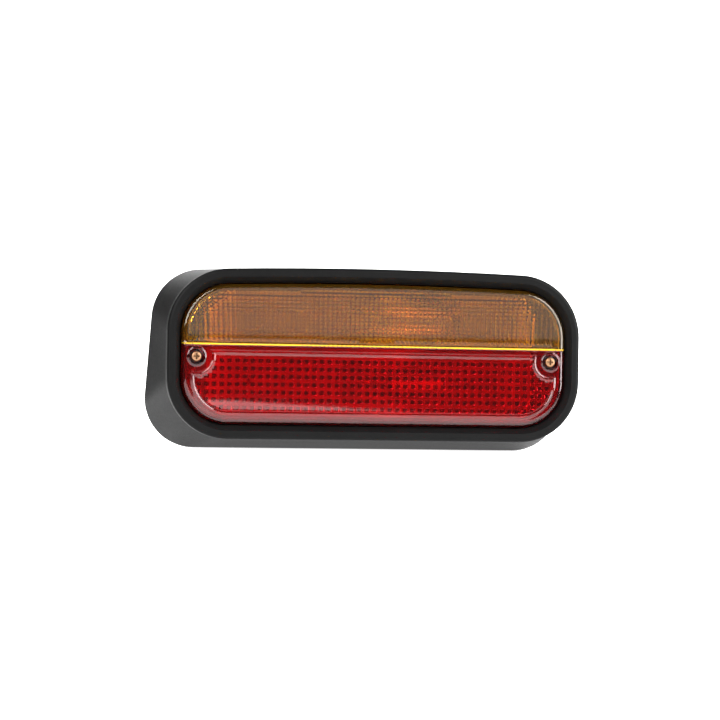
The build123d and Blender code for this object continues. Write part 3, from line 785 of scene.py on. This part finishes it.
def make_spring(colour):
    """A coil of round wire with capped ends, filling its part's box."""
    low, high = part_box(colour + "_spring")
    centre = ((low.y + high.y) / 2, (low.z + high.z) / 2)
    radius = (high.z - low.z) / 2 - SPRING_WIRE
    reach = high.x - low.x - 2 * SPRING_WIRE
    steps = SPRING_TURN_STEPS * SPRING_TURNS
    along = Vector((1, 0, 0))
    bm = bmesh.new()
    rings = []
    for i in range(steps + 1):
        turn = 2 * math.pi * SPRING_TURNS * i / steps
        out = Vector((0, math.cos(turn), math.sin(turn)))
        x = low.x + SPRING_WIRE + reach * i / steps
        middle = Vector((x, centre[0], centre[1])) + radius * out
        ring = []
        for k in range(SPRING_SIDES):
            lean = 2 * math.pi * k / SPRING_SIDES
            off = math.cos(lean) * out + math.sin(lean) * along
            ring.append(bm.verts.new(middle + SPRING_WIRE * off))
        rings.append(ring)
    for first, second in zip(rings, rings[1:]):
        for k in range(SPRING_SIDES):
            after = (k + 1) % SPRING_SIDES
            bm.faces.new((first[k], first[after], second[after], second[k]))
    bm.faces.new(rings[0][::-1])
    bm.faces.new(rings[-1])
    bmesh.ops.recalc_face_normals(bm, faces=bm.faces)
    spring = new_object(colour + "_contact_spring", bm, SPRING_STEEL, "lamp_base")
    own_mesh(spring)
    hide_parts(colour + "_spring")


for colour in ("amber", "red"):
    make_spring(colour)


# ---------------------------------------------------------------- studio
def studio():
    """A pale seamless sweep along the camera's line of sight, and soft boxes."""
    floor_z = rim_low.z
    azimuth = math.radians(VIEW_AZIMUTH)
    ahead = Vector((-math.sin(azimuth), math.cos(azimuth), 0))
    side = Vector((math.cos(azimuth), math.sin(azimuth), 0))
    profile = [(SWEEP_NEAR, 0.0), (-0.7, 0.0), (SWEEP_FAR, 0.0)]
    for i in range(1, SWEEP_BEND_STEPS + 1):
        turn = math.pi / 2 * i / SWEEP_BEND_STEPS
        profile.append((SWEEP_FAR + SWEEP_BEND * math.sin(turn), SWEEP_BEND * (1 - math.cos(turn))))
    profile.append((SWEEP_FAR + SWEEP_BEND, SWEEP_HEIGHT))
    bm = bmesh.new()
    rows = [[], []]
    for t, height in profile:
        half_width = SWEEP_MARGIN + SWEEP_SPREAD * (t + VIEW_DISTANCE)
        for row, way in zip(rows, (-1, 1)):
            place = ahead * t + side * way * half_width
            row.append(bm.verts.new((place.x, place.y, floor_z + height)))
    for i in range(len(profile) - 1):
        bm.faces.new((rows[0][i], rows[1][i], rows[1][i + 1], rows[0][i + 1]))
    mesh = bpy.data.meshes.new("sweep")
    bm.to_mesh(mesh)
    bm.free()
    mesh.shade_smooth()
    look = Look("sweep_paper")
    look.colour(look.blend(look.noise(3, 2), (0.93, 0.93, 0.93), (0.95, 0.95, 0.95)))
    look.set(Roughness=0.9, Emission_Color=(1, 1, 1, 1), Emission_Strength=SWEEP_GLOW)
    mesh.materials.append(look.material)
    sweep = bpy.data.objects.new("sweep", mesh)
    bpy.context.scene.collection.objects.link(sweep)

    world = bpy.data.worlds.new("studio")
    bpy.context.scene.world = world
    world.use_nodes = True
    world.node_tree.nodes["Background"].inputs["Color"].default_value = (1, 1, 1, 1)
    world.node_tree.nodes["Background"].inputs["Strength"].default_value = WORLD_STRENGTH

    for name, place, aim, size, power in SOFT_BOXES:
        light = bpy.data.lights.new(name, "AREA")
        light.shape = "RECTANGLE"
        light.size, light.size_y = size
        light.energy = power
        lamp = bpy.data.objects.new(name, light)
        lamp.location = place
        away = Vector(aim) - Vector(place)
        lamp.rotation_euler = away.to_track_quat("-Z", "Y").to_euler()
        bpy.context.scene.collection.objects.link(lamp)


VIEW_AZIMUTH = -12.3
VIEW_ELEVATION = -0.7
VIEW_ROLL = -0.84
VIEW_DISTANCE = 1.5
VIEW_LENS = 138.9
VIEW_SHIFT = (0.0091, 0.0014)

WORLD_STRENGTH = 0.1
# The sweep, in metres along the line of sight from the lamp; it is only as wide as the view needs
SWEEP_GLOW = 0.92
SWEEP_NEAR = -1.46
SWEEP_FAR = 0.5
SWEEP_BEND = 0.6
SWEEP_BEND_STEPS = 12
SWEEP_HEIGHT = 1.4
SWEEP_MARGIN = 0.05
SWEEP_SPREAD = 0.17
# Each soft box: name, place, what it is aimed at, size and power in watts
SOFT_BOXES = (
    ("veil_box", (0.40, -1.55, 0.31), (0, -0.05, 0), (0.8, 0.5), 1.9),
    ("key_box", (-1.3, -1.3, 1.2), (0, -0.05, 0), (1.9, 1.9), 110),
    ("glint_box", (1.35, -0.95, 0.5), (0, -0.03, 0), (1.5, 1.5), 90),
    ("left_box", (-1.0, 1.25, -0.14), (-0.1, 0, 0), (0.3, 0.2), 1.2),
    ("top_box", (0.0, -0.2, 1.3), (0, 0, 0), (1.2, 0.5), 3),
)
studio()


def camera():
    """The camera, a long lens to the lamp's left, aimed so that the rim sits as it should in the frame."""
    data = bpy.data.cameras.new("camera")
    data.lens = VIEW_LENS
    data.sensor_width = 36
    eye = bpy.data.objects.new("camera", data)
    bpy.context.scene.collection.objects.link(eye)
    azimuth = math.radians(VIEW_AZIMUTH)
    elevation = math.radians(VIEW_ELEVATION)
    level = math.cos(elevation)
    back = Vector((math.sin(azimuth) * level, -math.cos(azimuth) * level, math.sin(elevation)))
    aim = Vector((0, rim_low.y, 0))
    turn = (-back).to_track_quat("-Z", "Y").to_matrix()
    turn = turn @ Matrix.Rotation(math.radians(-VIEW_ROLL), 3, "Z")
    right = turn @ Vector((1, 0, 0))
    up = turn @ Vector((0, 1, 0))
    aim = aim - right * VIEW_SHIFT[0] - up * VIEW_SHIFT[1]
    eye.matrix_world = Matrix.Translation(aim + back * VIEW_DISTANCE) @ turn.to_4x4()
    data.clip_start = 0.05
    data.clip_end = 20
    bpy.context.scene.camera = eye


camera()
bpy.context.scene.view_settings.view_transform = "Standard"
